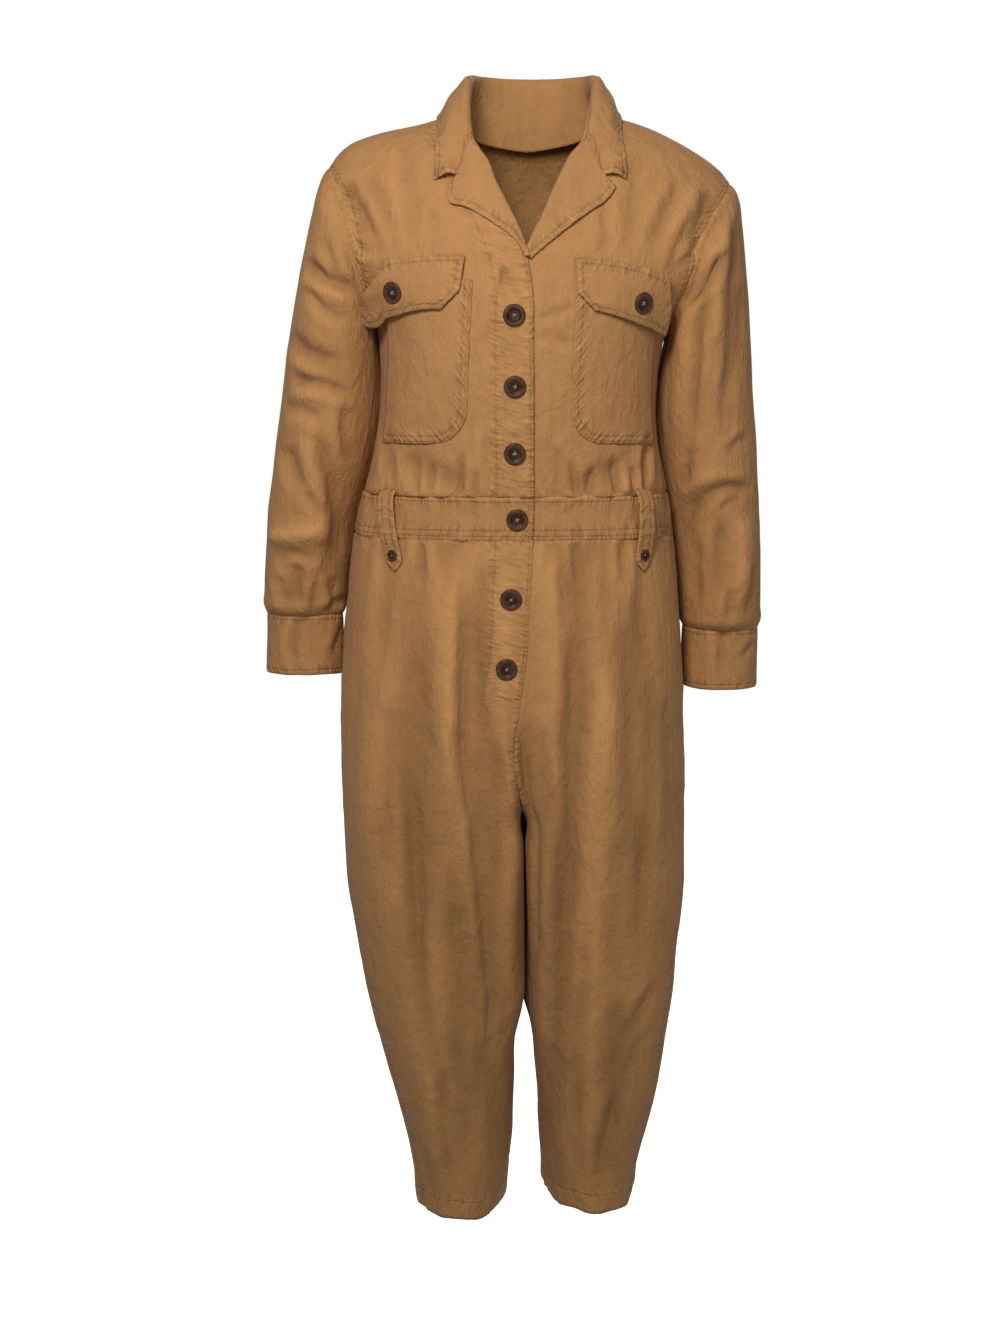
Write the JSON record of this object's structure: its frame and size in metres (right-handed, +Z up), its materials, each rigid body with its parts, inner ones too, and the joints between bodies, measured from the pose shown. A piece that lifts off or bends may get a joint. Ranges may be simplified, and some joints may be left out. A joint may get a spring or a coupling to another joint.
{
  "type": "boiler suit",
  "caption": "Long-sleeved cotton twill boiler suit in its worn form, hollow, with a notched collar, flap chest pockets, a buttoned front and cropped legs.",
  "frame": {"origin": "Middle of the neck, level with the top of the shoulders, where the wearer's shoulders hold the suit up", "axes": "+Z up, front of the suit towards -Y, the wearer's left towards +X"},
  "size_m": [0.559, 0.2741, 1.2913],
  "materials": {
    "twill": "matte washed cotton twill, tan",
    "twill_trim": "matte washed cotton twill, tan, stitched along its edges",
    "horn": "dark brown, dished, moderately glossy"
  },
  "bodies": {
    "root": {"back": "twill", "front_right": "twill", "front_left": "twill", "sleeve_right": "twill", "sleeve_left": "twill", "leg_front_right": "twill", "leg_back_right": "twill", "leg_front_left": "twill", "leg_back_left": "twill", "collar": "twill_trim", "lapel_right": "twill_trim", "lapel_left": "twill_trim", "cuff_right": "twill_trim", "cuff_left": "twill_trim", "pocket_right": "twill_trim", "pocket_left": "twill_trim", "flap_right": "twill_trim", "flap_left": "twill_trim", "waistband_right": "twill_trim", "waistband_left": "twill_trim", "waistband_back": "twill_trim", "belt_tab_right": "twill_trim", "belt_tab_left": "twill_trim", "button_front_1": "horn", "button_front_2": "horn", "button_front_3": "horn", "button_front_4": "horn", "button_front_5": "horn", "button_front_6": "horn", "button_flap_right": "horn", "button_flap_left": "horn", "button_tab_right": "horn", "button_tab_left": "horn"}
  },
  "joints": []
}
